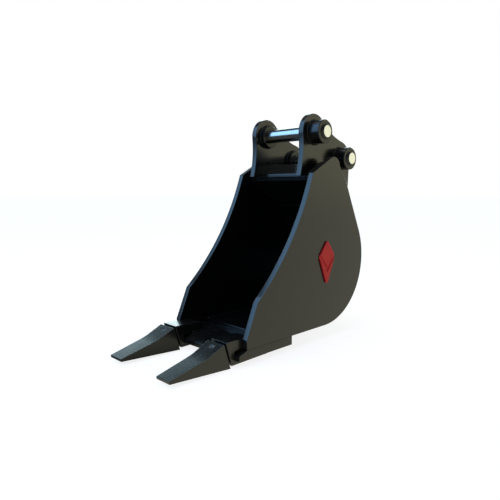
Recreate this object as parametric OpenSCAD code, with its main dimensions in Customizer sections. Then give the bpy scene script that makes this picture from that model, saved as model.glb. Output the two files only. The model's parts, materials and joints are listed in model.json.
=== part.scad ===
// Trenching bucket for a small excavator.
// The origin is the middle of the front pin's axis.
// +X is the digging direction, +Y the bucket's left side, +Z up. Sizes are in millimetres.

/* [Bucket body] */
// Height of the front pin above the underside of the floor
floor_drop = 576; // [540:1:700]
// Width over the two side plates
bucket_w = 300; // [240:5:400]
// Thickness of each side plate
side_t = 16; // [10:1:20]
// Thickness of the rolled wrapper (floor, heel and back)
wrapper_t = 12; // [8:0.5:12]
// Outer radius of the rolled heel
heel_r = 194; // [170:1:200]
// Centre of the rolled heel, behind the front pin
heel_back = 5; // [0:1:12]
// Radius of the side plates' peak
peak_r = 30; // [24:1:34]
// Centre of the side plates' peak, behind the front pin
peak_back = 36; // [33:1:39]
// Centre of the side plates' peak, below the front pin
peak_drop = 101; // [98:1:104]
// Lean of the side plates' straight rear edge from upright, in degrees
back_lean = 26.8; // [25:0.1:29]

/* [Mouth] */
// Front top corner of the side plates, ahead of the front pin
mouth_top_x = 64; // [60:1:70]
// Front top corner of the side plates, below the front pin
mouth_top_drop = 120; // [116:1:126]
// Kink in the front edge, ahead of the front pin
kink_x = 288; // [270:1:300]
// Kink in the front edge, below the front pin
kink_drop = 458; // [440:1:470]
// Foot of the front edge, ahead of the front pin
toe_x = 327; // [310:1:335]
// Foot of the front edge, below the front pin
toe_drop = 548; // [530:1:560]
// Depth of the hollow in the curved front edge
mouth_sag = 27; // [10:1:36]

/* [Top box] */
// Thickness of the sloping top plate
top_t = 9; // [8:0.5:11]
// Thickness of the ceiling plate that closes the box
ceiling_t = 10; // [8:0.5:12]
// Depth of the top plate below the side plates' sloping edge
box_inset = 16; // [14:0.5:18]
// Front face of the box, ahead of the front pin
box_nose_x = 28; // [24:1:34]
// Underside of the ceiling plate at its front end, below the front pin
ceiling_drop = 140; // [138:1:144]
// Slope of the ceiling plate down to the rear, in degrees
ceiling_slope = 29.5; // [27:0.5:31]

/* [Ears] */
// Clear distance between the two ears
ear_gap = 172; // [160:1:180]
// Thickness of each ear
ear_t = 17; // [14:0.5:20]
// Radius of the ears' head round the front pin
head_r = 54.5; // [50:0.5:58]
// Radius of the ears round the rear pin
rear_r = 55; // [51:0.5:58]
// Radius of the hollow between the two rounds
saddle_r = 220; // [180:5:320]
// Radius of the hollow in the ears' front edge
front_hollow_r = 314; // [280:2:380]
// Foot of the ears' front edge, below the front pin
ear_foot_drop = 127; // [124:1:132]
// Lower end of the ears' tail on the heel, below the front pin
tail_drop = 262; // [230:1:270]
// Lean of the tail's rear edge, in degrees
tail_lean = 3; // [0:0.5:4]

/* [Pins and bosses] */
// Pin diameter
pin_d = 40; // [34:1:44]
// Distance between the two pins' centres
pin_centres = 148; // [140:1:160]
// Fall of the line from the front pin to the rear pin, in degrees
pin_fall = 28.8; // [26:0.2:31]
// Length of the pins' working journal, the machine's arm width
journal_l = 140; // [120:1:150]
// Outer diameter of the bosses
boss_d = 68; // [62:1:74]
// Reach of the bosses outside the left ear
boss_out = 40; // [30:1:44]
// Reach of the bosses outside the right ear, where the retainers are
boss_short = 8; // [6:1:12]
// Outer diameter of the hardened bushes
bush_d = 50; // [48:1:54]
// Reach of the pins past the left bosses
pin_proud = 7; // [4:0.5:12]
// Chamfer at the pins' free ends
pin_chamfer = 3; // [1:0.5:4]
// Depth of the grease grooves at the journal's ends
groove_depth = 1.5; // [0.5:0.5:3]
// Width of the grease grooves
groove_w = 3; // [2:0.5:5]

/* [Pin retainers] */
// Thickness of the flag plate welded on each pin's right end
flag_t = 8; // [6:0.5:10]
// Distance from the pin's axis to the retaining bolt's axis
flag_reach = 51; // [49:0.5:51]
// Diameter of the retaining bolt
bolt_d = 12; // [8:1:12]
// Diameter of the tapped lug on the right ear
lug_d = 26; // [22:1:28]

/* [Cutting edge] */
// Thickness of the cutting edge plate
edge_t = 25; // [16:1:30]
// Rear end of the cutting edge, ahead of the front pin
edge_rear_x = 149; // [120:1:180]
// Nose of the cutting edge, ahead of the front pin
edge_nose_x = 354; // [345:1:360]
// Length of the bevel on top of the nose
bevel_l = 28; // [15:1:28]
// Fall of that bevel
bevel_drop = 12; // [6:1:16]
// Front end of the wrapper's floor, ahead of the front pin
floor_front_x = 224; // [200:1:240]

/* [Adapters and teeth] */
// Distance between the two teeth's centrelines
tooth_pitch = 210; // [170:2:240]
// Width of each adapter
adapter_w = 57; // [52:1:60]
// Lean of the joint between adapter and tooth from upright, in degrees
joint_lean = 17; // [12:0.5:18]
// Height of the adapter's collar
collar_h = 68; // [66:0.5:70]
// Top front corner of the collar, ahead of the front pin
collar_x = 385; // [380:1:392]
// Gap between collar and tooth
joint_gap = 4; // [2:0.5:6]
// Thickness of the adapter's top strap on the cutting edge
strap_t = 25; // [22:0.5:27]
// Thickness of the adapter's lower strap
under_strap_t = 9; // [7:0.5:10]
// Width of the tooth at its rear
tooth_rear_w = 63.5; // [60:0.5:68]
// Width of the tooth at its tip
tooth_tip_w = 51; // [40:0.5:56]
// Tip of the tooth, ahead of the front pin
tip_x = 557; // [540:1:570]
// Top of the tooth's tip, below the underside of the floor
tip_fall = 23.5; // [20:0.5:26]
// Turn between the two slopes of the tooth's top, ahead of the front pin
break_x = 448; // [440:1:456]
// Height of that turn above the underside of the floor
break_rise = 2; // [0:0.5:4]
// Thickness of the tooth's tip
tip_t = 7.5; // [6:0.5:10]
// Radius of the hollow in the tooth's top
scoop_r = 200; // [150:5:260]
// Diameter of the hollow spring pin that locks each tooth
lock_d = 13; // [10:0.5:14]
// Width of the adapter's nose inside the tooth
nose_w = 40; // [34:1:42]
// Front end of the adapter's nose, ahead of the front pin
nose_tip_x = 465; // [455:1:468]
// Top of the nose's front end, below the underside of the floor
nose_fall = 12; // [11:0.5:14]

/* [Badge] */
// Height of the raised badge
badge_h = 126; // [90:2:140]
// Width of the raised badge
badge_w = 74; // [50:2:90]
// Thickness of the raised badge
badge_t = 5; // [3:0.5:8]

/* [Fits] */
// Radial clearance of a pin in its bush, of a bolt and of a lock pin
running_gap = 0.05; // [0.02:0.01:0.09]
// Radial clearance of seats that are pressed or welded
seat_gap = 0.02; // [0.01:0.01:0.05]
// Gap between the tooth's pocket and the adapter's nose
pocket_gap = 0.5; // [0.3:0.1:1]
// Gap between a flag plate and its boss
flag_gap = 0.3; // [0.1:0.1:0.5]

/* [Hidden] */
$fn = 96;

paint = "#202326";
worn = "#3a3d40";
bright = "#d4d7da";
signal = "#a3242c";
eps = 0.5;
span = 2000;

// Places in the side view, as [forward, up]
front_axis = [0, 0];
rear_axis = pin_centres * [-cos(pin_fall), -sin(pin_fall)];
mouth_top = [mouth_top_x, -mouth_top_drop];
kink = [kink_x, -kink_drop];
toe = [toe_x, -toe_drop];
floor_z = -floor_drop;
heel = [-heel_back, floor_z + heel_r];
peak = [-peak_back, -peak_drop];
ear_foot = [mouth_top_x, -ear_foot_drop];

// Places across the bucket
side_in = bucket_w / 2 - side_t;
ear_in = ear_gap / 2;
ear_out = ear_in + ear_t;
boss_in = journal_l / 2 + eps;
left_boss_end = ear_out + boss_out;
right_boss_end = ear_out + boss_short;
pin_left_end = left_boss_end + pin_proud;
flag_in = right_boss_end + flag_gap;
flag_out = flag_in + flag_t;
tooth_y = tooth_pitch / 2;

function polar(c, r, a) = c + r * [cos(a), sin(a)];
function heading(from, to) = atan2(to.y - from.y, to.x - from.x);
function unit(v) = v / norm(v);
// Direction of the normal of a line that touches two circles on one side of them
function touch(c1, r1, c2, r2, side) =
    heading(c1, c2) + side * acos((r1 - r2) / norm(c2 - c1));
// Point at distance r1 from c1 and r2 from c2, on one side of the line between them
function meet(c1, r1, c2, r2, side) =
    let (d = norm(c2 - c1), a = (r1 * r1 - r2 * r2 + d * d) / (2 * d), u = (c2 - c1) / d)
    c1 + a * u + side * sqrt(r1 * r1 - a * a) * [-u.y, u.x];
// Height of the line through p with slope angle a, at forward distance x
function height_at(p, a, x) = p.y + (x - p.x) * tan(a);

// Normals of the sloping top edge, of the wrapper's back and of the side plates' rear edge
crest_r = peak_r - box_inset;
top_normal = touch(mouth_top, 0, peak, peak_r, -1);
back_normal = touch(heel, heel_r, peak, crest_r, 1);
rear_normal = 180 - back_lean;

// How far a straight edge is tucked into a round that it touches, and runs on past it
tuck = 0.02;
lap = 0.3;
// The side plates' relief round the rear boss, touching the peak
relief_r = norm(peak - rear_axis) - peak_r + tuck;

// The curved front edge
mouth_chord = norm(kink - mouth_top);
mouth_r = (mouth_chord * mouth_chord / 4 + mouth_sag * mouth_sag) / (2 * mouth_sag);
mouth_centre = polar((mouth_top + kink) / 2, mouth_r - mouth_sag, heading(mouth_top, kink) + 90);

// The box's front face
box_top_z = height_at(polar(peak, crest_r, top_normal), top_normal - 90, box_nose_x);
box_under_z = height_at(polar(peak, crest_r - top_t, top_normal), top_normal - 90, box_nose_x);
ceiling_front_x = box_nose_x - 4;

// The ears' outline
saddle = meet(front_axis, head_r + saddle_r, rear_axis, rear_r + saddle_r, -1);
front_hollow = meet(front_axis, head_r + front_hollow_r, ear_foot, front_hollow_r, 1);
tail_normal = 180 + tail_lean;
tail_top = polar(rear_axis, rear_r, tail_normal);
tail_end_x = tail_top.x + (tail_top.y + tail_drop) * tan(tail_lean);

// Cutting edge, adapter and tooth
edge_under_z = floor_z - edge_t;
collar_rise = 4;
collar_l = 24;
collar_top = [collar_x, floor_z + strap_t + collar_rise];
collar_foot = collar_top - collar_h * [sin(joint_lean), cos(joint_lean)];
tooth_step = [3, -2.5];
tooth_extra_h = 1.5;
tooth_top = collar_top + [joint_gap / cos(joint_lean), 0] + tooth_step;
tooth_foot = tooth_top - (collar_h + tooth_extra_h) * [sin(joint_lean), cos(joint_lean)];
tooth_break = [break_x, floor_z + break_rise];
tip_top = [tip_x, floor_z - tip_fall];
tip_foot = tip_top - [2, tip_t];
nose_tip_top = [nose_tip_x, floor_z - nose_fall];
nose_tip_t = 14;
nose_inset = 8;
nose_top_wall = 10;
nose_foot_wall = 7;

// The hollow that blends the two slopes of the tooth's top
scoop_turn = (heading(tooth_break, tip_top) - heading(tooth_top, tooth_break)) / 2;
scoop_side = scoop_r * tan(scoop_turn);
scoop_start = tooth_break - scoop_side * unit(tooth_break - tooth_top);
scoop_end = tooth_break + scoop_side * unit(tip_top - tooth_break);
scoop_centre = polar(scoop_start, scoop_r, heading(tooth_top, tooth_break) + 90);

// The lock pin's axis, through tooth and nose
lock_x = 408;
lock_z = height_at(tooth_top, heading(tooth_top, tooth_break), lock_x);
lock_l = 57;
lock_sink = 2;

// The flag's bolt
lug_at = [0, -flag_reach];
washer_t = 2.5;
head_h = 7.5;
head_flats = 1.5 * bolt_d;
bolt_reach = 30;
blind_wall = 4;
flag_r = 29;
flag_tip_r = 15;
bolt_play = 0.5;
flag_side = touch([0, 0], flag_r, lug_at, flag_tip_r, 1);
weld_leg = 4;

// Extrudes each outline given as a side view across the bucket, between two places
module slab(from, to) {
    translate([0, to, 0])
        rotate([90, 0, 0])
            for (i = [0 : $children - 1])
                linear_extrude(to - from) children(i);
}

// A bar along Y, between two places, at a place in the side view
module bar(at, r, from, to) {
    translate([at.x, from, at.y])
        rotate([-90, 0, 0])
            cylinder(r = r, h = to - from);
}

// A cone along Y, from radius r1 at one place to r2 at the other
module taper(at, r1, r2, from, to) {
    translate([at.x, from, at.y])
        rotate([-90, 0, 0])
            cylinder(r1 = r1, r2 = r2, h = to - from);
}

module right_side() mirror([0, 1, 0]) children();

// Everything on the far side of a line with a given normal
module beyond(at, normal) {
    translate(at)
        rotate(normal)
            translate([0, -span / 2]) square(span);
}

// A ring's stretch between two directions, less than 170 degrees apart
module arc_band(centre, r_out, r_in, from, to) {
    intersection() {
        translate(centre)
            difference() {
                circle(r = r_out);
                circle(r = r_in);
            }
        polygon([centre, polar(centre, 3 * r_out, from),
            polar(centre, 3 * r_out, (from + to) / 2), polar(centre, 3 * r_out, to)]);
    }
}

// Side plate: peak, relief round the rear boss, straight rear edge, heel and curved mouth
module side_plate_outline() {
    rear_gap = (rear_axis - heel) * [cos(rear_normal), sin(rear_normal)] - heel_r;
    over = 10;
    difference() {
        union() {
            translate(heel) circle(r = heel_r, $fn = 180);
            translate(peak) circle(r = peak_r);
            polygon([
                polar(mouth_top, over, top_normal - 90),
                polar(peak, peak_r - tuck, top_normal),
                peak,
                rear_axis,
                polar(rear_axis, -rear_gap - tuck, rear_normal),
                polar(heel, heel_r - tuck, rear_normal),
                heel,
                [heel.x, floor_z],
                [toe_x, floor_z],
                toe,
                polar(kink, over, heading(toe, kink)),
            ]);
        }
        translate(rear_axis) circle(r = relief_r);
        translate(mouth_centre) circle(r = mouth_r, $fn = 360);
    }
}

// Everything inside the wrapper's and the top plate's outer faces
module shell_outline() {
    translate(heel) circle(r = heel_r, $fn = 180);
    translate(peak) circle(r = crest_r);
    polygon([
        [box_nose_x, box_top_z],
        polar(peak, crest_r, top_normal),
        peak,
        polar(peak, crest_r, back_normal),
        polar(heel, heel_r, back_normal),
        heel,
        [box_nose_x, -ceiling_drop],
    ]);
}

module side_plate() {
    color(paint) slab(side_in, bucket_w / 2) side_plate_outline();
}

// Floor, rolled heel and straight back in one rolled plate
module wrapper() {
    foot = polar([0, 0], lap, back_normal + 90);
    color(paint)
        slab(-side_in, side_in) {
            translate([heel.x - lap, floor_z]) square([floor_front_x - heel.x + lap, wrapper_t]);
            arc_band(heel, heel_r, heel_r - wrapper_t, back_normal, 270, $fn = 180);
            polygon([
                polar(heel, heel_r, back_normal) + foot,
                polar(peak, crest_r, back_normal),
                polar(peak, crest_r - wrapper_t, back_normal),
                polar(heel, heel_r - wrapper_t, back_normal) + foot,
            ]);
        }
}

// Sloping top plate, bent down over the crest to meet the back
module top_plate() {
    foot = polar([0, 0], lap, top_normal + 90);
    color(paint)
        slab(-side_in, side_in) {
            arc_band(peak, crest_r, crest_r - top_t, top_normal, back_normal);
            polygon([
                polar(peak, crest_r, top_normal) + foot,
                [box_nose_x, box_top_z],
                [box_nose_x, box_under_z],
                polar(peak, crest_r - top_t, top_normal) + foot,
            ]);
        }
}

// Plate from the box's nose down to the inside of the back
module ceiling_plate() {
    rise = ceiling_t / cos(ceiling_slope);
    front = [ceiling_front_x, -ceiling_drop];
    rear_x = -200;
    rear_z = height_at(front, ceiling_slope, rear_x);
    color(paint)
        slab(-side_in, side_in)
            difference() {
                polygon([front, front + [0, rise], [rear_x, rear_z + rise], [rear_x, rear_z]]);
                beyond(polar(peak, crest_r - top_t, top_normal), top_normal);
                beyond(polar(peak, crest_r - wrapper_t, back_normal), back_normal);
            }
}

// Hanger ear: two rounds with a hollow between, seated on the top plate and down the back.
// The right ear is drilled blind, from outside, for the pins' retaining bolts.
module ear(tapped) {
    color(paint)
        difference() {
            slab(ear_in, ear_out) {
                circle(r = head_r);
                translate(rear_axis) circle(r = rear_r);
                polygon([
                    front_axis,
                    polar(front_axis, head_r, heading(front_axis, front_hollow)),
                    ear_foot,
                    [box_nose_x - eps, ear_foot.y],
                    peak,
                    [heel.x, -tail_drop],
                    [tail_end_x, -tail_drop],
                    tail_top,
                    rear_axis,
                    polar(rear_axis, rear_r, heading(rear_axis, saddle)),
                    polar(front_axis, head_r, heading(front_axis, saddle)),
                ]);
            }
            slab(ear_in - eps, ear_out + eps) {
                translate(saddle) circle(r = saddle_r, $fn = 240);
                translate(front_hollow) circle(r = front_hollow_r, $fn = 240);
                shell_outline();
                circle(r = boss_d / 2 + seat_gap);
                translate(rear_axis) circle(r = boss_d / 2 + seat_gap);
            }
            if (tapped)
                for (at = [front_axis, rear_axis])
                    bar(at + lug_at, bolt_d / 2 + running_gap, ear_in + blind_wall, ear_out + eps);
        }
}

// Boss tube through an ear, with chamfered rims, out to a given place
module boss(at, boss_end) {
    rim = 1.5;
    r = boss_d / 2;
    color(paint)
        difference() {
            union() {
                taper(at, r - rim, r, boss_in, boss_in + rim);
                bar(at, r, boss_in + rim, boss_end - rim);
                taper(at, r, r - rim, boss_end - rim, boss_end);
            }
            bar(at, bush_d / 2 + seat_gap, boss_in - eps, boss_end + eps);
        }
}

// Hardened bush pressed into a boss, out to a given place
module bush(at, boss_end) {
    color(worn)
        difference() {
            bar(at, bush_d / 2, boss_in, boss_end);
            bar(at, pin_d / 2 + running_gap, boss_in - eps, boss_end + eps);
        }
}

// One fillet weld round a boss, on the ear face at y, growing towards side
module boss_weld(at, y, side) {
    translate([at.x, y, at.y])
        rotate([-90 * side, 0, 0])
            rotate_extrude()
                translate([boss_d / 2 + seat_gap, 0])
                    polygon([[0, 0], [weld_leg, 0], [0, weld_leg]]);
}

module boss_welds() {
    color(paint)
        for (at = [front_axis, rear_axis]) {
            boss_weld(at, ear_out, 1);
            boss_weld(at, ear_in, -1);
        }
}

// Greased pin: chamfered left end, journal between two grease grooves, plain right end
module pin(at) {
    r = pin_d / 2;
    groove_end = journal_l / 2 + groove_w;
    color(bright) {
        taper(at, r, r - pin_chamfer, pin_left_end - pin_chamfer, pin_left_end);
        bar(at, r, groove_end, pin_left_end - pin_chamfer);
        bar(at, r - groove_depth, journal_l / 2, groove_end);
        bar(at, r, -journal_l / 2, journal_l / 2);
        bar(at, r - groove_depth, -groove_end, -journal_l / 2);
        bar(at, r, -flag_out, -groove_end);
    }
}

// Flag plate on a pin's right end, with a clearance hole for the retaining bolt
module flag(at) {
    color(paint)
        translate([at.x, 0, at.y])
            difference() {
                slab(-flag_out, -flag_in) {
                    circle(r = flag_r);
                    translate(lug_at) circle(r = flag_tip_r);
                    polygon([
                        [0, 0],
                        polar([0, 0], flag_r, flag_side),
                        polar(lug_at, flag_tip_r, flag_side),
                        lug_at,
                        polar(lug_at, flag_tip_r, 180 - flag_side),
                        polar([0, 0], flag_r, 180 - flag_side),
                    ]);
                }
                slab(-flag_out - eps, -flag_in + eps) {
                    circle(r = pin_d / 2 + seat_gap);
                    translate(lug_at) circle(r = bolt_d / 2 + bolt_play);
                }
            }
}

module washer(at) {
    color(bright)
        difference() {
            bar(at + lug_at, bolt_d, -flag_out - washer_t, -flag_out);
            bar(at + lug_at, bolt_d / 2 + bolt_play, -flag_out - washer_t - eps, -flag_out + eps);
        }
}

// Hexagon bolt through the flag into the lug
module bolt(at) {
    seat = -flag_out - washer_t;
    color(bright) {
        bar(at + lug_at, bolt_d / 2, seat - eps, seat + bolt_reach);
        translate([at.x + lug_at.x, seat - head_h, at.y + lug_at.y])
            rotate([-90, 0, 0])
                cylinder(r = head_flats / 2 / cos(30), h = head_h, $fn = 6);
    }
}

// Tapped lug on the right ear, as high as the short boss
module lug(at) {
    color(paint)
        difference() {
            bar(at + lug_at, lug_d / 2, -right_boss_end, -ear_out);
            bar(at + lug_at, bolt_d / 2 + running_gap, -right_boss_end - eps, -ear_out + eps);
        }
}

module cutting_edge_outline() {
    polygon([
        [edge_rear_x, floor_z],
        [edge_nose_x - bevel_l, floor_z],
        [edge_nose_x, floor_z - bevel_drop],
        [edge_nose_x, edge_under_z],
        [edge_rear_x, edge_under_z],
    ]);
}

module cutting_edge() {
    color(paint) slab(-bucket_w / 2, bucket_w / 2) cutting_edge_outline();
}

// The adapter's nose in the side view; gap widens it into the tooth's pocket
module nose_outline(gap) {
    polygon([
        collar_top + [-nose_inset, gap - nose_top_wall],
        nose_tip_top + [gap, gap],
        nose_tip_top + [gap, -nose_tip_t - gap],
        collar_foot + [-nose_inset, nose_foot_wall - gap],
    ]);
}

// Two-strap adapter: straps over and under the cutting edge, collar and nose
module adapter() {
    strap_end_r = 12;
    strap_rear_x = 285;
    under_rear_x = 229;
    under_end_r = 5;
    strap_z = floor_z + strap_t;
    under_z = edge_under_z - under_strap_t;
    color(paint)
        translate([0, tooth_y, 0])
            difference() {
                union() {
                    slab(-adapter_w / 2, adapter_w / 2)
                        difference() {
                            union() {
                                translate([strap_rear_x + strap_end_r, strap_z - strap_end_r])
                                    circle(r = strap_end_r);
                                translate([under_rear_x + under_end_r, under_z + under_end_r])
                                    circle(r = under_end_r);
                                polygon([
                                    collar_top,
                                    collar_top - [collar_l, 0],
                                    [strap_rear_x + strap_end_r, strap_z],
                                    [strap_rear_x + strap_end_r, strap_z - strap_end_r],
                                    [strap_rear_x, strap_z - strap_end_r],
                                    [strap_rear_x, floor_z],
                                    [edge_nose_x, floor_z - eps],
                                    [edge_nose_x, edge_under_z],
                                    [under_rear_x, edge_under_z],
                                    [under_rear_x, under_z + under_end_r],
                                    [under_rear_x + under_end_r, under_z + under_end_r],
                                    [under_rear_x + under_end_r, under_z],
                                    collar_foot,
                                ]);
                            }
                            cutting_edge_outline();
                        }
                    slab(-nose_w / 2, nose_w / 2)
                        intersection() {
                            nose_outline(0);
                            beyond(collar_top - [2, 0], -joint_lean);
                        }
                }
                lock_hole();
            }
}

// Hole for the spring pin, from above the tooth to below it
module lock_hole() {
    translate([lock_x, 0, lock_z])
        rotate([0, joint_lean, 0])
            translate([0, 0, -80])
                cylinder(r = lock_d / 2 + running_gap, h = 100);
}

// Digging tooth: wedge with a hollowed top, tapered in plan, with a pocket for the nose
module tooth() {
    sink_r = 7.5;
    color(worn)
        translate([0, tooth_y, 0])
            difference() {
                intersection() {
                    slab(-tooth_rear_w / 2, tooth_rear_w / 2)
                        difference() {
                            polygon([tooth_top, scoop_start, scoop_end, tip_top, tip_foot, tooth_foot]);
                            translate(scoop_centre) circle(r = scoop_r, $fn = 240);
                        }
                    translate([0, 0, tooth_foot.y - 10])
                        linear_extrude(collar_h + 20)
                            polygon([
                                [tooth_foot.x, -tooth_rear_w / 2],
                                [tip_x, -tooth_tip_w / 2],
                                [tip_x, tooth_tip_w / 2],
                                [tooth_foot.x, tooth_rear_w / 2],
                            ]);
                }
                slab(-nose_w / 2 - pocket_gap, nose_w / 2 + pocket_gap) nose_outline(pocket_gap);
                lock_hole();
                translate([lock_x, 0, lock_z])
                    rotate([0, joint_lean, 0])
                        translate([0, 0, -lock_sink])
                            cylinder(r = sink_r, h = 20);
            }
}

// Hollow slotted spring pin that locks a tooth on its adapter
module lock_pin() {
    slot_w = 2;
    color(bright)
        translate([lock_x, tooth_y, lock_z])
            rotate([0, joint_lean, 0])
                translate([0, 0, -lock_sink - lock_l])
                    difference() {
                        cylinder(r = lock_d / 2, h = lock_l);
                        translate([0, 0, -eps]) cylinder(r = lock_d / 4, h = lock_l + 2 * eps);
                        translate([0, -slot_w / 2, -eps]) cube([lock_d, slot_w, lock_l + 2 * eps]);
                    }
}

// Plain raised badge: an upright lozenge with a chevron sunk in its face
module badge() {
    corner = 5;
    high = badge_h / 2 - corner;
    wide = badge_w / 2 - corner;
    shoulder = 0.3 * high;
    band = 0.12 * badge_h;
    sink = badge_t / 2;
    face = bucket_w / 2 + badge_t;
    color(signal)
        translate([heel.x, 0, heel.y])
            difference() {
                slab(bucket_w / 2, face)
                    hull()
                        for (at = [[0, high], [0, -high], [wide, shoulder], [-wide, shoulder]])
                            translate(at) circle(r = corner, $fn = 32);
                slab(face - sink, face + eps)
                    polygon([
                        [-badge_w, badge_w],
                        [0, -band],
                        [badge_w, badge_w],
                        [badge_w, badge_w - band],
                        [0, -2 * band],
                        [-badge_w, badge_w - band],
                    ]);
            }
}

side_plate();  // left_side_plate
right_side() side_plate();  // right_side_plate
wrapper();
top_plate();
ceiling_plate();
ear(false);  // left_ear
right_side() ear(true);  // right_ear
cutting_edge();
boss(front_axis, left_boss_end);  // front_left_boss
right_side() boss(front_axis, right_boss_end);  // front_right_boss
boss(rear_axis, left_boss_end);  // rear_left_boss
right_side() boss(rear_axis, right_boss_end);  // rear_right_boss
bush(front_axis, left_boss_end);  // front_left_bush
right_side() bush(front_axis, right_boss_end);  // front_right_bush
bush(rear_axis, left_boss_end);  // rear_left_bush
right_side() bush(rear_axis, right_boss_end);  // rear_right_bush
boss_welds();  // left_boss_welds
right_side() boss_welds();  // right_boss_welds
lug(front_axis);  // front_lug
lug(rear_axis);  // rear_lug
pin(front_axis);  // front_pin
flag(front_axis);  // front_flag
washer(front_axis);  // front_washer
bolt(front_axis);  // front_bolt
pin(rear_axis);  // rear_pin
flag(rear_axis);  // rear_flag
washer(rear_axis);  // rear_washer
bolt(rear_axis);  // rear_bolt
adapter();  // left_adapter
right_side() adapter();  // right_adapter
tooth();  // left_tooth
right_side() tooth();  // right_tooth
lock_pin();  // left_lock_pin
right_side() lock_pin();  // right_lock_pin
badge();  // left_badge
right_side() badge();  // right_badge
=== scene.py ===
# %% [markdown]
# # Trenching bucket
# This notebook dresses a welded excavator bucket. The CAD model gives every plate, pin
# and tooth its place and size, so nothing is measured or moved here. What is added is
# what a CAD model leaves out: softened plate edges, weld beads, paint, ground steel,
# and the studio the bucket stands in. All lengths are in metres.

# %% Load the fixed frame
import json
import math

import bpy
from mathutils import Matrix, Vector
from mathutils.kdtree import KDTree


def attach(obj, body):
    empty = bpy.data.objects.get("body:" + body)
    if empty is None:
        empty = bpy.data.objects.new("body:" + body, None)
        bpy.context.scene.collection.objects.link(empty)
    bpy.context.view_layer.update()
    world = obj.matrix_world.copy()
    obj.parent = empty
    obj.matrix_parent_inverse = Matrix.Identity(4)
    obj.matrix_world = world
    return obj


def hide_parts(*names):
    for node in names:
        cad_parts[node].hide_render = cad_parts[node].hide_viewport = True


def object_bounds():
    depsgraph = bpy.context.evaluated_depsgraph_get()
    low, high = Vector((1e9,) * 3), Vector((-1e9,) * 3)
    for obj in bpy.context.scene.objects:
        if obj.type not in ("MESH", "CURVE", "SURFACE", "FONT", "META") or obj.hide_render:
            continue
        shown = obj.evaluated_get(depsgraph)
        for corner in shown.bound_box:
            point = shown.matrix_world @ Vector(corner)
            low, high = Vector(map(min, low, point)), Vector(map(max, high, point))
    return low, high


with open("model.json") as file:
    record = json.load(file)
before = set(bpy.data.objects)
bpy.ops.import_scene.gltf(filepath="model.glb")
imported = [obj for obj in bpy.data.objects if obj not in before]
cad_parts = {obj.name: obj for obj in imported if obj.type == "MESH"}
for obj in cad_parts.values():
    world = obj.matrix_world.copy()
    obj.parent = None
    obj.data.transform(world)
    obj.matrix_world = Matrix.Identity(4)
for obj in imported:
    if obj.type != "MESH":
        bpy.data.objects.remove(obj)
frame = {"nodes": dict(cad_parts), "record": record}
cad_box = [list(corner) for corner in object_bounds()]
MM = 0.001
print("CAD box:", cad_box)

# %% [markdown]
# ## The pieces and the finish of each
# A bucket like this has one coat of satin black paint over everything that is welded
# together. The pins are bare ground steel, the bolts are zinc plated, and the teeth are
# castings with a rougher, greyer paint. The lists below group the CAD nodes that get the
# same treatment, and BODY_OF tells which moving body each node belongs to.

# %% Nodes by treatment
SIDES = ("left", "right")
SIDE_SIGNS = (("left", 1), ("right", -1))
PLATES = ["left_side_plate", "right_side_plate", "wrapper", "top_plate", "ceiling_plate",
          "left_ear", "right_ear", "front_lug", "rear_lug", "front_flag", "rear_flag"]
BOSSES = [f"{place}_{side}_boss" for place in ("front", "rear") for side in SIDES]
BUSHES = [f"{place}_{side}_bush" for place in ("front", "rear") for side in SIDES]
BODY_OF = {node: body for body, nodes in frame["record"]["behaviour"]["bodies"].items()
           for node in nodes}

# %% [markdown]
# ## Helpers for shader nodes
# A material is a small graph, and these helpers keep the graphs short. `add` makes a node
# and sets or links its inputs. `new_group` makes a group with named sockets, so that an
# effect is built once and then placed in each material with values of its own. `scalar`
# does sums, `remap` moves a value from one range to another, and `mix_colour` blends two
# colours.

# %% Node helpers
MIX_A, MIX_B, MIX_RESULT = 6, 7, 2  # the Mix node's colour sockets


def add(tree, kind, values=None, **settings):
    node = tree.nodes.new(kind)
    for name, value in settings.items():
        setattr(node, name, value)
    for socket, value in (values or {}).items():
        if isinstance(value, bpy.types.NodeSocket):
            tree.links.new(value, node.inputs[socket])
        else:
            node.inputs[socket].default_value = value
    return node


def new_group(name, inputs, outputs):
    tree = bpy.data.node_groups.new(name, "ShaderNodeTree")
    for label, kind, value in inputs:
        socket = tree.interface.new_socket(label, in_out="INPUT", socket_type=kind)
        socket.default_value = value
    for label, kind in outputs:
        tree.interface.new_socket(label, in_out="OUTPUT", socket_type=kind)
    return tree, tree.nodes.new("NodeGroupInput"), tree.nodes.new("NodeGroupOutput")


def scalar(tree, operation, a, b=0.0, clamp=False):
    node = add(tree, "ShaderNodeMath", {0: a, 1: b}, operation=operation, use_clamp=clamp)
    return node.outputs[0]


def remap(tree, value, low, high, to_low, to_high):
    return add(tree, "ShaderNodeMapRange", {
        "Value": value, "From Min": low, "From Max": high, "To Min": to_low, "To Max": to_high,
    }).outputs["Result"]


def mix_colour(tree, factor, a, b):
    node = add(tree, "ShaderNodeMix", {"Factor": factor}, data_type="RGBA")
    for index, value in ((MIX_A, a), (MIX_B, b)):
        if isinstance(value, bpy.types.NodeSocket):
            tree.links.new(value, node.inputs[index])
        else:
            node.inputs[index].default_value = (*value, 1.0)
    return node.outputs[MIX_RESULT]


# %% [markdown]
# ## Worn edges
# Paint is thinnest on a corner and rubs through there first. The Bevel node looks a
# short way round each point and returns a softened normal. Where that differs from the
# true normal there is an edge, and noise breaks the line up so that it looks rubbed
# rather than drawn.

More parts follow.
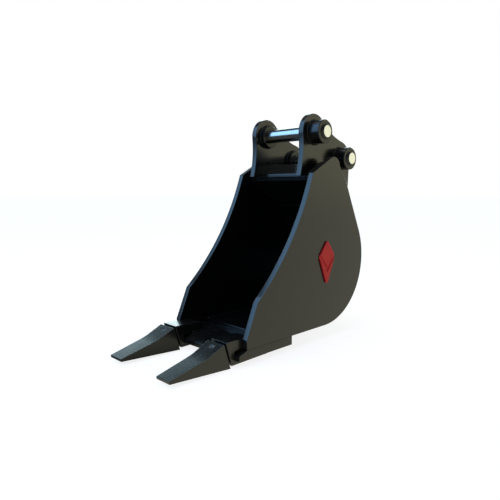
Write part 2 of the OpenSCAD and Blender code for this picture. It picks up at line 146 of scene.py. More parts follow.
# %% Group: edge mask
def make_edge_group():
    tree, gin, gout = new_group(
        "EdgeRub",
        [("Radius", "NodeSocketFloat", 0.002), ("Amount", "NodeSocketFloat", 1.0),
         ("Breakup", "NodeSocketFloat", 60.0)],
        [("Mask", "NodeSocketFloat")])
    soft = add(tree, "ShaderNodeBevel", {"Radius": gin.outputs["Radius"]}, samples=4)
    true = add(tree, "ShaderNodeNewGeometry")
    dot = add(tree, "ShaderNodeVectorMath", {0: soft.outputs[0], 1: true.outputs["Normal"]},
              operation="DOT_PRODUCT").outputs["Value"]
    bend = remap(tree, dot, 1.0, 0.86, 0.0, 1.0)
    place = add(tree, "ShaderNodeTexCoord").outputs["Object"]
    patches = add(tree, "ShaderNodeTexNoise", {
        "Vector": place, "Scale": gin.outputs["Breakup"], "Detail": 5.0, "Roughness": 0.7})
    broken = remap(tree, patches.outputs["Fac"], 0.35, 0.68, 0.1, 1.0)
    rubbed = scalar(tree, "MULTIPLY", bend, broken)
    tree.links.new(scalar(tree, "MULTIPLY", rubbed, gin.outputs["Amount"], clamp=True),
                   gout.inputs["Mask"])
    return tree


EDGE_RUB = make_edge_group()
print("edge group:", len(EDGE_RUB.nodes), "nodes")

# %% [markdown]
# ## Sprayed paint
# Sprayed paint isn't flat. It has a fine pebbled skin, the plate under it has long
# shallow waves from rolling and welding, and the gloss changes a little from place to
# place. The group gives all of these as numbers between 0 and 1.

# %% Group: paint skin
def make_skin_group():
    tree, gin, gout = new_group(
        "PaintSkin",
        [("Pebble Size", "NodeSocketFloat", 420.0), ("Wave Size", "NodeSocketFloat", 7.0)],
        [("Tone", "NodeSocketFloat"), ("Gloss", "NodeSocketFloat"), ("Height", "NodeSocketFloat")])
    place = add(tree, "ShaderNodeTexCoord").outputs["Object"]
    pebble = add(tree, "ShaderNodeTexNoise", {
        "Vector": place, "Scale": gin.outputs["Pebble Size"], "Detail": 2.0}).outputs["Fac"]
    speck = add(tree, "ShaderNodeTexNoise", {
        "Vector": place, "Scale": 1500.0, "Detail": 1.0}).outputs["Fac"]
    wave = add(tree, "ShaderNodeTexNoise", {
        "Vector": place, "Scale": gin.outputs["Wave Size"], "Detail": 3.0}).outputs["Fac"]
    cloud = add(tree, "ShaderNodeTexNoise", {
        "Vector": place, "Scale": 22.0, "Detail": 6.0, "Roughness": 0.62}).outputs["Fac"]
    tone = scalar(tree, "ADD", scalar(tree, "MULTIPLY", cloud, 0.6),
                  scalar(tree, "MULTIPLY", speck, 0.4))
    gloss = scalar(tree, "ADD", scalar(tree, "MULTIPLY", cloud, 0.55),
                   scalar(tree, "MULTIPLY", pebble, 0.45))
    low = scalar(tree, "MULTIPLY", wave, 6.0)
    height = scalar(tree, "ADD", low, scalar(tree, "MULTIPLY", pebble, 0.25))
    tree.links.new(tone, gout.inputs["Tone"])
    tree.links.new(gloss, gout.inputs["Gloss"])
    tree.links.new(height, gout.inputs["Height"])
    return tree


PAINT_SKIN = make_skin_group()
print("skin group:", len(PAINT_SKIN.nodes), "nodes")

# %% [markdown]
# ## Dust
# Fine dust settles where a surface faces up, and stays in patches. It is only a trace
# on a new bucket, enough to break up a perfectly black top.

# %% Group: dust
def make_dust_group():
    tree, gin, gout = new_group(
        "SettledDust", [("Amount", "NodeSocketFloat", 0.2)], [("Mask", "NodeSocketFloat")])
    normal = add(tree, "ShaderNodeNewGeometry").outputs["Normal"]
    up = add(tree, "ShaderNodeSeparateXYZ", {0: normal}).outputs["Z"]
    flat = remap(tree, up, 0.3, 1.0, 0.0, 1.0)
    place = add(tree, "ShaderNodeTexCoord").outputs["Object"]
    patch = add(tree, "ShaderNodeTexNoise", {
        "Vector": place, "Scale": 35.0, "Detail": 7.0, "Roughness": 0.7}).outputs["Fac"]
    patchy = remap(tree, patch, 0.4, 0.72, 0.0, 1.0)
    tree.links.new(scalar(tree, "MULTIPLY", scalar(tree, "MULTIPLY", flat, patchy),
                          gin.outputs["Amount"], clamp=True), gout.inputs["Mask"])
    return tree


DUST = make_dust_group()
print("dust group:", len(DUST.nodes), "nodes")

# %% [markdown]
# ## Paint over steel
# One recipe makes every painted finish: a base colour that drifts between two tones, an
# edge colour where the paint is rubbed, dust on top, and a bump from the paint skin.
# The finishes differ only in their numbers. The ceiling plate, deep inside the bucket,
#  has a thin dull coat of its own with darker rubbed edges. It is partly painted shade:
#  it keeps the plate dark and unreflecting where its nose and underside lie in shade.

# %% Painted finish
def new_material(name, colour):
    material = bpy.data.materials.new(name)
    material.use_nodes = True
    material.diffuse_color = (*colour, 1.0)
    tree = material.node_tree
    return material, tree, tree.nodes["Principled BSDF"]


def painted(name, dark, light, edge, rough, edge_amount=0.6, edge_radius=0.0016, dust=0.15,
            pebble=420.0, wave=7.0, bump=0.00004, breakup=60.0, specular=0.5):
    material, tree, surface = new_material(name, light)
    skin = add(tree, "ShaderNodeGroup", node_tree=PAINT_SKIN)
    skin.inputs["Pebble Size"].default_value = pebble
    skin.inputs["Wave Size"].default_value = wave
    rub = add(tree, "ShaderNodeGroup", node_tree=EDGE_RUB)
    rub.inputs["Radius"].default_value = edge_radius
    rub.inputs["Amount"].default_value = edge_amount
    rub.inputs["Breakup"].default_value = breakup
    settled = add(tree, "ShaderNodeGroup", node_tree=DUST)
    settled.inputs["Amount"].default_value = dust
    tone = remap(tree, skin.outputs["Tone"], 0.35, 0.65, 0.0, 1.0)
    base = mix_colour(tree, tone, dark, light)
    dusty = mix_colour(tree, settled.outputs["Mask"], base, (0.11, 0.10, 0.085))
    worn = mix_colour(tree, rub.outputs["Mask"], dusty, edge)
    gloss = remap(tree, skin.outputs["Gloss"], 0.3, 0.7, rough - 0.05, rough + 0.07)
    dulled = scalar(tree, "ADD", gloss, scalar(tree, "MULTIPLY", settled.outputs["Mask"], 0.3))
    rough_out = scalar(tree, "SUBTRACT", dulled,
                       scalar(tree, "MULTIPLY", rub.outputs["Mask"], 0.12), clamp=True)
    bumped = add(tree, "ShaderNodeBump", {
        "Strength": 1.0, "Distance": bump, "Height": skin.outputs["Height"]})
    tree.links.new(worn, surface.inputs["Base Color"])
    tree.links.new(rough_out, surface.inputs["Roughness"])
    tree.links.new(bumped.outputs[0], surface.inputs["Normal"])
    surface.inputs["Specular IOR Level"].default_value = specular
    return material


BLACK = painted("satin_black_paint", (0.0013, 0.0014, 0.0015), (0.0023, 0.0024, 0.0024),
                (0.026, 0.028, 0.032), rough=0.19, edge_amount=0.5, dust=0.008, specular=0.72)
EDGE_BLACK = painted("cutting_edge_paint", (0.0016, 0.0017, 0.0018), (0.0032, 0.0033, 0.0034),
                     (0.04, 0.042, 0.046), rough=0.25, edge_amount=0.6, dust=0.012, specular=0.7)
WELD_BLACK = painted("weld_paint", (0.0016, 0.0017, 0.0019), (0.0030, 0.0032, 0.0034),
                     (0.02, 0.022, 0.025), rough=0.28, edge_amount=0.3, dust=0.02,
                     pebble=900.0, specular=0.2)
# Thin dull inner coat, partly painted shade: it keeps the ceiling plate dark where it lies in
# shade.
INNER_DULL_AND_SHADE = painted("thin_inner_paint_and_painted_shade", (0.0013, 0.0013, 0.0014), (0.0021, 0.0021, 0.0022),
                      (0.010, 0.010, 0.011), rough=0.55, edge_amount=0.1, dust=0.004, specular=0.12)
CAST_GREY = painted("cast_tooth_paint", (0.0026, 0.0032, 0.0035), (0.0042, 0.0050, 0.0055),
                    (0.07, 0.076, 0.082), rough=0.22, edge_amount=0.8, dust=0.012,
                    pebble=700.0, wave=18.0, bump=0.000008, specular=0.7)
BOSS_BLACK = painted("boss_paint", (0.0013, 0.0014, 0.0015), (0.0023, 0.0024, 0.0024),
                     (0.026, 0.028, 0.032), rough=0.24, edge_amount=0.5, dust=0.008, specular=0.55)
BADGE_RED = painted("badge_red_paint", (0.40, 0.012, 0.017), (0.52, 0.018, 0.024),
                    (0.42, 0.06, 0.07), rough=0.38, edge_amount=0.4, dust=0.03, specular=0.2)
print("painted finishes made")

# %% [markdown]
# ## Bare steel
# A pin is turned and ground, so its scratches run round it and its gloss changes along
# its length. Noise squeezed along Y does that: fine along the pin and long round it.
# Plated bolts and blued spring pins use the same recipe, duller. A pin can also be given
#  a painted shade for its chamfers and a painted highlight for its end faces, which are
#  picked out by how far their normals point along Y.

# %% Steel finish
def steel(name, dark, light, rough, spread=0.06, fine=900.0, bump=0.000004, edge_amount=0.3,
          painted_shade_and_highlight=None):
    material, tree, surface = new_material(name, light)
    place = add(tree, "ShaderNodeTexCoord").outputs["Object"]
    stretched = add(tree, "ShaderNodeMapping", {"Vector": place, "Scale": (14.0, fine, 14.0)})
    lines = add(tree, "ShaderNodeTexNoise", {
        "Vector": stretched.outputs[0], "Scale": 1.0, "Detail": 3.0}).outputs["Fac"]
    smears = add(tree, "ShaderNodeTexNoise", {
        "Vector": place, "Scale": 45.0, "Detail": 6.0, "Roughness": 0.65}).outputs["Fac"]
    rub = add(tree, "ShaderNodeGroup", node_tree=EDGE_RUB)
    rub.inputs["Radius"].default_value = 0.001
    rub.inputs["Amount"].default_value = edge_amount
    blend = scalar(tree, "ADD", scalar(tree, "MULTIPLY", lines, 0.5),
                   scalar(tree, "MULTIPLY", smears, 0.5))
    base = mix_colour(tree, remap(tree, blend, 0.35, 0.65, 0.0, 1.0), dark, light)
    polished = tuple(min(1.0, channel * 1.25) for channel in light)
    worn = mix_colour(tree, rub.outputs["Mask"], base, polished)
    # Painted shade: the chamfers get a dark tone. Painted highlight: the end faces get a bright
    # one. Both are picked by how far the true normal points along Y.
    if painted_shade_and_highlight:
        chamfer_shade, face = painted_shade_and_highlight
        normal = add(tree, "ShaderNodeNewGeometry").outputs["True Normal"]
        along = add(tree, "ShaderNodeSeparateXYZ", {0: normal}).outputs["Y"]
        end_on = scalar(tree, "ABSOLUTE", along, 0.0)
        worn = mix_colour(tree, remap(tree, end_on, 0.15, 0.20, 0.0, 1.0), worn, chamfer_shade)
        worn = mix_colour(tree, remap(tree, end_on, 0.97, 0.99, 0.0, 1.0), worn, face)
    tree.links.new(worn, surface.inputs["Base Color"])
    tree.links.new(remap(tree, smears, 0.3, 0.7, rough - spread, rough + spread),
                   surface.inputs["Roughness"])
    bumped = add(tree, "ShaderNodeBump", {"Strength": 1.0, "Distance": bump, "Height": lines})
    tree.links.new(bumped.outputs[0], surface.inputs["Normal"])
    surface.inputs["Metallic"].default_value = 1.0
    return material


# Ground pins: bare steel, with painted shade on the chamfers and a painted highlight on the end
# faces.
GROUND_WITH_PAINTED_ENDS = steel("ground_pin_steel_painted_end_light", (0.50, 0.49, 0.48), (0.62, 0.61, 0.60), rough=0.15, spread=0.03,
               painted_shade_and_highlight=((0.05, 0.05, 0.055), (0.95, 0.97, 0.99)))
PLATED = steel("zinc_plated_steel", (0.42, 0.43, 0.42), (0.60, 0.61, 0.60), rough=0.34)
BUSHING = steel("hardened_bush_steel", (0.030, 0.031, 0.033), (0.062, 0.064, 0.066), rough=0.30)
SPRING = steel("blued_spring_steel", (0.26, 0.28, 0.30), (0.38, 0.40, 0.42), rough=0.42)
print("steel finishes made")

# %% [markdown]
# ## Softened edges
# A cut plate has no perfect corner: grinding and paint round it by about a millimetre,
# and that thin round is what catches the light. Each plate's mesh is copied, its
# doubled points are merged, its flat faces are joined again, and a bevel goes on every
# sharp edge. Weighted normals keep the large faces flat, so that only the round itself
# looks round. The copy then stands for the CAD node.


def clear_selection():
    if bpy.context.object and bpy.context.object.mode != "OBJECT":
        bpy.ops.object.mode_set(mode="OBJECT")
    bpy.ops.object.select_all(action="DESELECT")


def make_active(piece):
    clear_selection()
    piece.select_set(True)
    bpy.context.view_layer.objects.active = piece


EDGE_ROUND = 1.2 * MM
MERGE_WITHIN = 0.02 * MM
FLAT_WITHIN = math.radians(0.4)
SMOOTH_BELOW = math.radians(32.0)
BEVEL_ABOVE = math.radians(28.0)


def rounded(node, width, material, segments=2):
    piece = bpy.data.objects.new(f"{node}_finished", frame["nodes"][node].data.copy())
    bpy.context.scene.collection.objects.link(piece)
    make_active(piece)
    bpy.ops.object.mode_set(mode="EDIT")
    bpy.ops.mesh.select_all(action="SELECT")
    bpy.ops.mesh.remove_doubles(threshold=MERGE_WITHIN)
    bpy.ops.mesh.dissolve_limited(angle_limit=FLAT_WITHIN)
    bpy.ops.object.mode_set(mode="OBJECT")
    bevel = piece.modifiers.new("edges", "BEVEL")
    bevel.width = width
    bevel.segments = segments
    bevel.limit_method = "ANGLE"
    bevel.angle_limit = BEVEL_ABOVE
    bevel.use_clamp_overlap = False
    bpy.ops.object.modifier_apply(modifier=bevel.name)
    bpy.ops.object.shade_smooth_by_angle(angle=SMOOTH_BELOW)
    flat = piece.modifiers.new("flat_faces", "WEIGHTED_NORMAL")
    flat.keep_sharp = True
    flat.weight = 100
    bpy.ops.object.modifier_apply(modifier=flat.name)
    piece.data.materials.clear()
    piece.data.materials.append(material)
    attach(piece, BODY_OF[node])
    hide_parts(node)


for node in PLATES:
    # The ceiling plate's dull coat is partly painted shade for its shaded nose and underside.
    rounded(node, EDGE_ROUND, INNER_DULL_AND_SHADE if node == "ceiling_plate" else BLACK)
for side in SIDES:
    rounded(f"{side}_adapter", 1.5 * MM, EDGE_BLACK, segments=3)
    rounded(f"{side}_tooth", EDGE_ROUND, CAST_GREY, segments=3)
    rounded(f"{side}_badge", 0.7 * MM, BADGE_RED)
rounded("cutting_edge", EDGE_ROUND, EDGE_BLACK)
for place in ("front", "rear"):
    rounded(f"{place}_bolt", 0.6 * MM, PLATED)
    rounded(f"{place}_washer", 0.3 * MM, PLATED)

# %% [markdown]
# ## Turned pieces keep their CAD shape
# Bosses, bushes and pins are turned on a lathe and already have their chamfers in the
# CAD model, so they only need a finish.

# %% Finishes of the turned pieces
def finish_node(node, material):
    piece = frame["nodes"][node]
    piece.data.materials.clear()
    piece.data.materials.append(material)


for node in BOSSES:
    finish_node(node, BOSS_BLACK)
for node in BUSHES:
    finish_node(node, BUSHING)
# The pins' finish carries painted shade on the chamfers and a painted highlight on the end faces.
for place in ("front", "rear"):
    finish_node(f"{place}_pin", GROUND_WITH_PAINTED_ENDS)
for side in SIDES:
    finish_node(f"{side}_lock_pin", SPRING)
print("turned pieces finished")

# %% [markdown]
# ## The lines that the welds follow
# A weld runs in the corner between two plates, so its path comes from the same circles
# and straight lines as the plates. These few numbers repeat the CAD model's side view:
# the rolled heel, the crest of the top plate, and the lines that touch both.

# %% Side-view geometry
def at_angle(centre, radius, degrees):
    turn = math.radians(degrees)
    return (centre[0] + radius * math.cos(turn), centre[1] + radius * math.sin(turn))


def touching(c1, r1, c2, r2, side):
    dx, dz = c2[0] - c1[0], c2[1] - c1[1]
    return math.degrees(math.atan2(dz, dx) + side * math.acos((r1 - r2) / math.hypot(dx, dz)))


HEEL, HEEL_R = (-5.0, -382.0), 194.0
PEAK, PEAK_R, CREST_R = (-36.0, -101.0), 30.0, 14.0
MOUTH_TOP, BOX_NOSE_X, TAIL_Z = (64.0, -120.0), 28.0, -262.0
WRAPPER_T, FLOOR_Z, FLOOR_FRONT_X = 12.0, -576.0, 224.0
SIDE_IN, EAR_IN, EAR_OUT = 134.0, 86.0, 103.0
TOP_NORMAL = touching(MOUTH_TOP, 0.0, PEAK, PEAK_R, -1)
BACK_NORMAL = touching(HEEL, HEEL_R, PEAK, CREST_R, 1)
print("top normal", round(TOP_NORMAL, 2), "back normal", round(BACK_NORMAL, 2))

# %% [markdown]
# ## Weld beads
# A weld bead is a row of overlapping puddles. A round tube is drawn along the joint,
# turned into a mesh, and each of its points is then moved out or in along a repeating
# wave with sharp valleys, which leaves the ripples that a welder calls stacked coins.
# Two slower waves keep the ripples from being all alike, and an open bead tapers at its
# ends. The tube's inner half is buried in the two plates.

# %% Bead maker
RIPPLE, STEP = 4.6 * MM, 1.15 * MM
RIPPLE_DEPTH, RIPPLE_MEAN = 0.13, 0.6
TIP_SIZE, TIP_GROWTH = 0.35, 0.16
BEAD_MERGE = 0.01 * MM


def resample(points, closed):
    run = [Vector(p) * MM for p in points]
    if closed:
        run.append(run[0].copy())
    out, left = [run[0].copy()], STEP
    for a, b in zip(run, run[1:]):
        length, done = (b - a).length, 0.0
        while length - done >= left:
            done += left
            out.append(a.lerp(b, done / length))
            left = STEP
        left -= length - done
    if closed and (out[-1] - out[0]).length < 0.6 * STEP:
        out.pop()
    return out


def bead(name, points, size, body, closed=False, phase=0.0):
    path = resample(points, closed)
    curve = bpy.data.curves.new(name, "CURVE")
    curve.dimensions = "3D"
    curve.bevel_depth = size * MM
    curve.bevel_resolution = 2
    curve.use_fill_caps = not closed
    spline = curve.splines.new("POLY")
    spline.points.add(len(path) - 1)
    for point, place in zip(spline.points, path):
        point.co = (*place, 1.0)
    spline.use_cyclic_u = closed
    piece = bpy.data.objects.new(name, curve)
    bpy.context.scene.collection.objects.link(piece)
    make_active(piece)
    bpy.ops.object.convert(target="MESH")
    piece = bpy.context.object
    tree = KDTree(len(path))
    for index, place in enumerate(path):
        tree.insert(place, index)
    tree.balance()
    count = len(path)
    for vertex in piece.data.vertices:
        place, index, _ = tree.find(vertex.co)
        along = index * STEP / RIPPLE + phase
        wander = 0.05 * math.sin(along * 0.73) + 0.04 * math.sin(along * 2.9 + 1.0)
        swell = 1.0 + RIPPLE_DEPTH * (abs(math.sin(math.pi * along)) - RIPPLE_MEAN) + wander
        if not closed:
            swell *= min(1.0, TIP_SIZE + TIP_GROWTH * min(index, count - 1 - index))
        vertex.co = place + (vertex.co - place) * swell
    bpy.ops.object.mode_set(mode="EDIT")
    bpy.ops.mesh.select_all(action="SELECT")
    bpy.ops.mesh.remove_doubles(threshold=BEAD_MERGE)
    bpy.ops.mesh.normals_make_consistent(inside=False)
    bpy.ops.object.mode_set(mode="OBJECT")
    bpy.ops.object.shade_smooth()
    piece.data.materials.clear()
    piece.data.materials.append(WELD_BLACK)
    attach(piece, body)
    return piece


def ring(centre, y, radius, count=72):
    return [(centre[0] + radius * math.cos(2 * math.pi * i / count), y,
             centre[1] + radius * math.sin(2 * math.pi * i / count)) for i in range(count)]


# %% [markdown]
# ## Rings round the bosses and lugs
# Each boss passes through its ear and is welded all round on both faces. The ear rings
# stand for the plain triangular fillets of the CAD model.

# %% Boss and lug rings
FRONT_AXIS = (0.0, 0.0)
AXES = (("front", FRONT_AXIS), ("rear", at_angle(FRONT_AXIS, -148.0, 28.8)))
BOSS_R, LUG_R, LUG_DROP = 34.0, 13.0, 51.0
RING_OFF, LUG_OFF = 0.6, 0.4
RING_BEAD, LUG_BEAD = 3.1, 2.0
for side, sign in SIDE_SIGNS:
    made = []
    for label, centre in AXES:
        for face, y in (("outer", EAR_OUT + RING_OFF), ("inner", EAR_IN - RING_OFF)):
            made.append(bead(f"{side}_{label}_{face}_ring_weld",
                             ring(centre, sign * y, BOSS_R + RING_OFF),
                             RING_BEAD, "bucket", closed=True, phase=len(made)))
    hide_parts(f"{side}_boss_welds")
for label, (x, z) in AXES:
    bead(f"{label}_lug_weld", ring((x, z - LUG_DROP), -(EAR_OUT + LUG_OFF), LUG_R + LUG_OFF, 40),
         LUG_BEAD, "bucket", closed=True)
print("ring welds made")

# %% [markdown]
# ## Long seams
# The ears are welded to the top plate and down the back, and the top plate and the
# rolled wrapper to the side plates. Each seam is a path in the side view, placed across
# the bucket and drawn as one bead. `on_line` gives the point of a straight plate at a
# given X or Z.

# %% Seam paths
def arc(centre, radius, start, end, count=14):
    turn = end - start
    return [at_angle(centre, radius, start + turn * i / count) for i in range(count + 1)]


def across(profile, y):
    return [(x, y, z) for x, z in profile]


def on_line(p, normal, x=None, z=None):
    slope = math.tan(math.radians(normal - 90.0))
    if x is not None:
        return (x, p[1] + (x - p[0]) * slope)
    return (p[0] + (z - p[1]) / slope, z)


HEEL_BOTTOM = 270.0
crest_top = at_angle(PEAK, CREST_R, TOP_NORMAL)
crest_back = at_angle(PEAK, CREST_R, BACK_NORMAL)
box_nose = on_line(crest_top, TOP_NORMAL, x=BOX_NOSE_X - 2.0)
tail_end = on_line(crest_back, BACK_NORMAL, z=TAIL_Z + 4.0)
outer_seam = [box_nose] + arc(PEAK, CREST_R, TOP_NORMAL, BACK_NORMAL) + [tail_end]
top_seam = [box_nose] + arc(PEAK, CREST_R, TOP_NORMAL, TOP_NORMAL + 60.0, 8)
inner_back = at_angle(PEAK, CREST_R - WRAPPER_T, BACK_NORMAL)
inner_seam = ([on_line(inner_back, BACK_NORMAL, z=-200.0)]
              + arc(HEEL, HEEL_R - WRAPPER_T, BACK_NORMAL, HEEL_BOTTOM, 40)
              + [(FLOOR_FRONT_X - 3.0, FLOOR_Z + WRAPPER_T)])
print("seam paths:", len(outer_seam), len(top_seam), len(inner_seam), "points")

# %% Ear, top plate and wrapper seams
SEAM_OFF = 0.5
EAR_BEAD, WRAPPER_BEAD, TOP_BEAD = 3.2, 3.4, 2.8
LONG_SEAMS = (("ear_outer_seam", outer_seam, EAR_OUT + SEAM_OFF, EAR_BEAD),
              ("ear_inner_seam", outer_seam, EAR_IN - SEAM_OFF, EAR_BEAD),
              ("inner_wrapper_seam", inner_seam, SIDE_IN - SEAM_OFF, WRAPPER_BEAD),
              ("top_plate_seam", top_seam, SIDE_IN - SEAM_OFF, TOP_BEAD))
for side, sign in SIDE_SIGNS:
    for label, profile, y, size in LONG_SEAMS:
        bead(f"{side}_{label}", across(profile, sign * y), size, "bucket")
print("long seams made")

# %% [markdown]
# ## Ceiling seams
# The ceiling plate closes the box under the top plate. It is welded to both side plates,
# and to the back along the line where the two planes meet.

# %% Ceiling seams
CEILING_FRONT, CEILING_SLOPE = (24.0, -140.0), 29.5
CEILING_BEAD, BACK_BEAD, BACK_HALF = 2.6, 3.0, 130.0
ceiling_normal = 90.0 + CEILING_SLOPE
ceiling_run = [on_line(CEILING_FRONT, ceiling_normal, x=x) for x in (20.0, -60.0, -117.0)]
for side, sign in SIDE_SIGNS:
    bead(f"{side}_ceiling_seam", across(ceiling_run, sign * (SIDE_IN - SEAM_OFF)),
         CEILING_BEAD, "bucket")
slope = math.tan(math.radians(CEILING_SLOPE))
back_slope = math.tan(math.radians(BACK_NORMAL - 90.0))
back_level = inner_back[1] - back_slope * inner_back[0]
ceiling_level = CEILING_FRONT[1] - slope * CEILING_FRONT[0]
meet = on_line(CEILING_FRONT, ceiling_normal, x=(back_level - ceiling_level) / (slope - back_slope))
bead("ceiling_back_seam", [(meet[0] + 1.0, y, meet[1] - 0.6) for y in (-BACK_HALF, BACK_HALF)],
     BACK_BEAD, "bucket")
print("ceiling meets the back at", [round(v, 1) for v in meet])

# %% [markdown]
# ## Seams of the cutting edge and the adapters
# The wrapper's floor ends in a step on the cutting edge and is welded along it. Each
# adapter's upper strap is welded down along its inner side and round its end, and its
# lower strap along both sides.

# %% Floor and adapter seams
STEP_BEAD, STRAP_BEAD, UNDER_BEAD, SIDE_BEAD = 3.0, 2.8, 3.0, 3.2
STRAP_REAR_X, EDGE_BEVEL_X, TOOTH_Y, ADAPTER_HALF = 285.0, 326.0, 105.0, 28.5
UNDER_REAR_X, EDGE_UNDER_Z, EDGE_NOSE_X = 229.0, -601.0, 354.0
STRAP_OFF, STEP_HALF = 0.4, 131.0
bead("floor_step_seam",
     [(FLOOR_FRONT_X + STRAP_OFF, y, FLOOR_Z + STRAP_OFF) for y in (-STEP_HALF, STEP_HALF)],
     STEP_BEAD, "bucket")
seam_z, under_z = FLOOR_Z + SEAM_OFF, EDGE_UNDER_Z - SEAM_OFF
strap_inner, strap_outer = TOOTH_Y - ADAPTER_HALF - STRAP_OFF, TOOTH_Y + ADAPTER_HALF + STRAP_OFF
for side, sign in SIDE_SIGNS:
    inner_y = sign * strap_inner
    strap = [(EDGE_BEVEL_X, inner_y, seam_z), (STRAP_REAR_X - STRAP_OFF, inner_y, seam_z),
             (STRAP_REAR_X - STRAP_OFF, sign * (SIDE_IN - 2.0), seam_z)]
    bead(f"{side}_strap_weld", strap, STRAP_BEAD, "bucket")
    for edge, y in (("inner", strap_inner), ("outer", strap_outer)):
        under = [(EDGE_NOSE_X - 6.0, sign * y, under_z), (UNDER_REAR_X + 4.0, sign * y, under_z)]
        bead(f"{side}_{edge}_under_weld", under, UNDER_BEAD, "bucket")
    side_y = sign * (SIDE_IN - SEAM_OFF)
    toe_run = [(FLOOR_FRONT_X + 4.0, side_y, seam_z), (STRAP_REAR_X - 6.0, side_y, seam_z)]
    bead(f"{side}_edge_seam", toe_run, SIDE_BEAD, "bucket")
print("edge and adapter seams made")

# %% [markdown]
# ## Camera
# The camera looks at the bucket's mouth from the front left, a little from above, with
# a 35 mm lens on a full-frame sensor.

# %% Camera
EYE = Vector((1.1718, 1.0051, -0.1675))
LOOK = Vector((-0.7017, -0.7017, -0.1231)).normalized()
camera = bpy.data.objects.new("camera", bpy.data.cameras.new("camera"))
bpy.context.scene.collection.objects.link(camera)
camera.data.lens = 35.0
camera.data.sensor_width = 36.0
camera.location = EYE
camera.rotation_euler = LOOK.to_track_quat("-Z", "Y").to_euler()
bpy.context.scene.camera = camera
print("camera at", [round(v, 3) for v in EYE])

# %% [markdown]
# ## Studio
# Black paint shows little colour of its own: what is seen is what it reflects. So the
# room is painted with what the bucket should mirror. A round blue window stands in front,
# where the mouth's edges reflect it. A low white band runs behind, for the tops of the
# teeth. The left side is warm. The camera itself sees only plain white.

# %% Directions in the room
LOW_Z = cad_box[0][2]
bpy.context.scene.view_settings.view_transform = "Standard"
world = bpy.data.worlds.new("studio")
bpy.context.scene.world = world
world.use_nodes = True
wt = world.node_tree
wt.nodes.clear()
towards = add(wt, "ShaderNodeTexCoord").outputs["Generated"]
axes = add(wt, "ShaderNodeSeparateXYZ", {0: towards})


def height_band(name, stops):
    node = add(wt, "ShaderNodeValToRGB", {"Fac": remap(wt, axes.outputs["Z"], -1.0, 1.0, 0.0, 1.0)})
    node.label = name
    while len(node.color_ramp.elements) < len(stops):
        node.color_ramp.elements.new(0.5)
    for element, (height, colour) in zip(node.color_ramp.elements, stops):
        element.position = 0.5 + 0.5 * height
        element.color = (*colour, 1.0)
    return node.outputs[0]


print("room directions ready")

# %% Room light
warm_side = height_band("warm side", [
    (-0.6, (0.20, 0.20, 0.15)), (-0.05, (0.70, 0.68, 0.49)), (0.05, (0.92, 0.90, 0.63)),
    (0.3, (0.80, 0.79, 0.62)), (0.6, (0.34, 0.34, 0.33)), (1.0, (0.28, 0.28, 0.28))])
back_side = height_band("back band", [
    (0.0, (1.7, 2.0, 2.1)), (0.2, (4.2, 5.0, 5.1)), (0.3, (3.4, 4.2, 4.3)),
    (0.42, (0.90, 1.30, 1.50)), (0.5, (0.60, 0.92, 1.05)), (0.56, (0.42, 0.64, 0.72)),
    (0.60, (0.10, 0.14, 0.16)), (0.63, (0.01, 0.012, 0.015)), (1.0, (0.05, 0.055, 0.06))])
dim_side = height_band("dim side", [
    (0.0, (0.12, 0.14, 0.15)), (0.3, (0.20, 0.25, 0.28)), (0.6, (0.12, 0.15, 0.17)),
    (1.0, (0.20, 0.21, 0.22))])
to_back = remap(wt, axes.outputs["X"], 0.25, -0.10, 0.0, 1.0)
to_left = remap(wt, axes.outputs["Y"], -0.30, 0.25, 0.0, 1.0)
ahead = remap(wt, axes.outputs["X"], 0.05, 0.45, 0.0, 0.85)
warm_side = mix_colour(wt, ahead, warm_side, (0.07, 0.07, 0.07))
room = mix_colour(wt, to_left, mix_colour(wt, to_back, dim_side, back_side), warm_side)


def facing(direction, low, high):
    aim = tuple(Vector(direction).normalized())
    dot = add(wt, "ShaderNodeVectorMath", {0: towards, 1: aim}, operation="DOT_PRODUCT")
    return remap(wt, dot.outputs["Value"], low, high, 0.0, 1.0)


round_window = facing((0.80, -0.30, 0.50), 0.69, 0.77)
cut_window = facing((0.50, 0.70, 0.50), -0.115, -0.03)
window = scalar(wt, "MULTIPLY", round_window, cut_window)
room = mix_colour(wt, window, room, (0.82, 1.60, 2.60))
seen = add(wt, "ShaderNodeLightPath").outputs["Is Camera Ray"]
lit = add(wt, "ShaderNodeBackground", {"Color": room, "Strength": 1.0})
plain = add(wt, "ShaderNodeBackground", {"Color": (1.0, 1.0, 1.0, 1.0), "Strength": 1.0})
both = add(wt, "ShaderNodeMixShader", {0: seen, 1: lit.outputs[0], 2: plain.outputs[0]})
add(wt, "ShaderNodeOutputWorld", {"Surface": both.outputs[0]})
print("room painted with", len(wt.nodes), "nodes")

# %% [markdown]
# ## Floor
# The camera sees a pale floor that glows a little, with the bucket's soft shadow on it.
# Paint and steel mirror something else in its place: a card that is dark on the right
# and warm on the left.

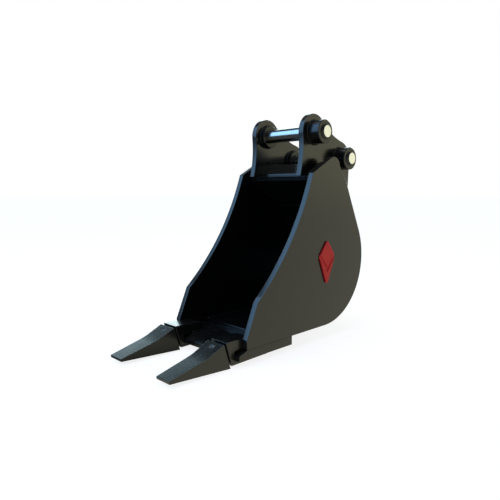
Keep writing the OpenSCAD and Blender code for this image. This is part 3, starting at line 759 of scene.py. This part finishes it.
# %% Floor
clear_selection()
bpy.ops.mesh.primitive_plane_add(size=60.0, location=(0.0, 0.0, LOW_Z - 0.001))
floor = bpy.context.object
floor.name = "studio_floor"
bpy.ops.object.transform_apply(location=True, rotation=True, scale=True)
floor_mat, ft, pale = new_material("pale_floor", (0.9, 0.9, 0.9))
pale.inputs["Base Color"].default_value = (0.26, 0.25, 0.245, 1.0)
pale.inputs["Roughness"].default_value = 1.0
pale.inputs["Specular IOR Level"].default_value = 0.0
pale.inputs["Emission Color"].default_value = (1.0, 1.0, 1.0, 1.0)
pale.inputs["Emission Strength"].default_value = 0.84
spot = add(ft, "ShaderNodeSeparateXYZ", {0: add(ft, "ShaderNodeTexCoord").outputs["Object"]})
card = mix_colour(ft, remap(ft, spot.outputs["Y"], -0.15, 0.10, 0.0, 1.0),
                  (0.06, 0.065, 0.07), (0.66, 0.65, 0.51))
mirrored = add(ft, "ShaderNodeEmission", {"Color": card, "Strength": 1.0})
ray = add(ft, "ShaderNodeLightPath").outputs["Is Camera Ray"]
chosen = add(ft, "ShaderNodeMixShader", {0: ray, 1: mirrored.outputs[0], 2: pale.outputs[0]})
ft.links.new(chosen.outputs[0], ft.nodes["Material Output"].inputs["Surface"])
floor.data.materials.append(floor_mat)
print("floor at", round(LOW_Z, 4))

# %% [markdown]
# ## Overhead light
# One large soft panel hangs over the bucket and gives it its shadow. The camera doesn't
# see the panel itself.

# %% Overhead panel
BUCKET_MIDDLE, PANEL_PLACE = Vector((0.1, 0.0, -0.3)), Vector((0.2, -0.2, 2.4))
PANEL_SIDE, PANEL_WATTS = 2.0, 26.0
lamp = bpy.data.lights.new("top_panel", "AREA")
lamp.shape = "RECTANGLE"
lamp.size, lamp.size_y = PANEL_SIDE, PANEL_SIDE
lamp.energy = PANEL_WATTS
panel = bpy.data.objects.new("top_panel", lamp)
bpy.context.scene.collection.objects.link(panel)
panel.location = PANEL_PLACE
panel.rotation_euler = (BUCKET_MIDDLE - PANEL_PLACE).to_track_quat("-Z", "Y").to_euler()
panel.visible_camera = False
print("panel hung at", [round(v, 2) for v in PANEL_PLACE])
